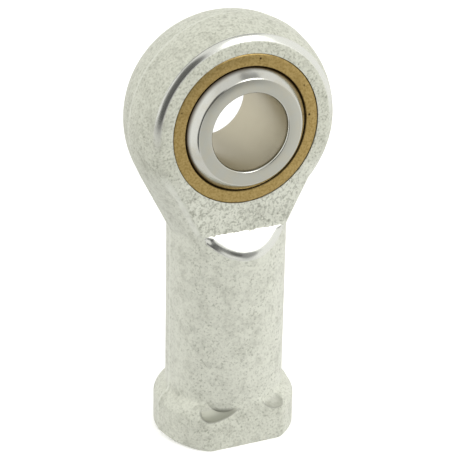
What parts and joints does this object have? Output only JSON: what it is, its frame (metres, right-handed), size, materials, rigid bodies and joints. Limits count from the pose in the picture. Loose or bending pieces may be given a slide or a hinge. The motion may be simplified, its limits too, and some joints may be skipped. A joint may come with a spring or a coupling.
{
  "type": "rod end bearing",
  "caption": "Female rod end bearing: a forged steel eye on a threaded shank, with a brass race that holds a swivelling steel ball bored for a pin.",
  "frame": {"origin": "centre of the ball, half way along the pin's bore", "axes": "+Z from the ball's centre away from the shank; Y along the pin's bore at its neutral position, -Y out of the front face; X across the head along the forging's parting plane"},
  "size_m": [0.0254, 0.0142, 0.054],
  "materials": {
    "zinc_plated_forging": "forged low-carbon steel, shot blasted and zinc plated, light warm grey with a fine mottled grain",
    "race_brass": "turned brass, satin, slightly tarnished",
    "ball_steel": "hardened steel, polished on the sphere and ground on the two faces and in the bore"
  },
  "bodies": {
    "shank_body": {"housing": "zinc_plated_forging", "race": "race_brass"},
    "ball": {"ball": "ball_steel"}
  },
  "joints": [
    {"name": "ball_tilt", "type": "hinge", "parent": "shank_body", "child": "ball", "pos_m": [0, 0, 0], "axis": [1, 0, 0], "range_deg": [-13, 13]}
  ]
}
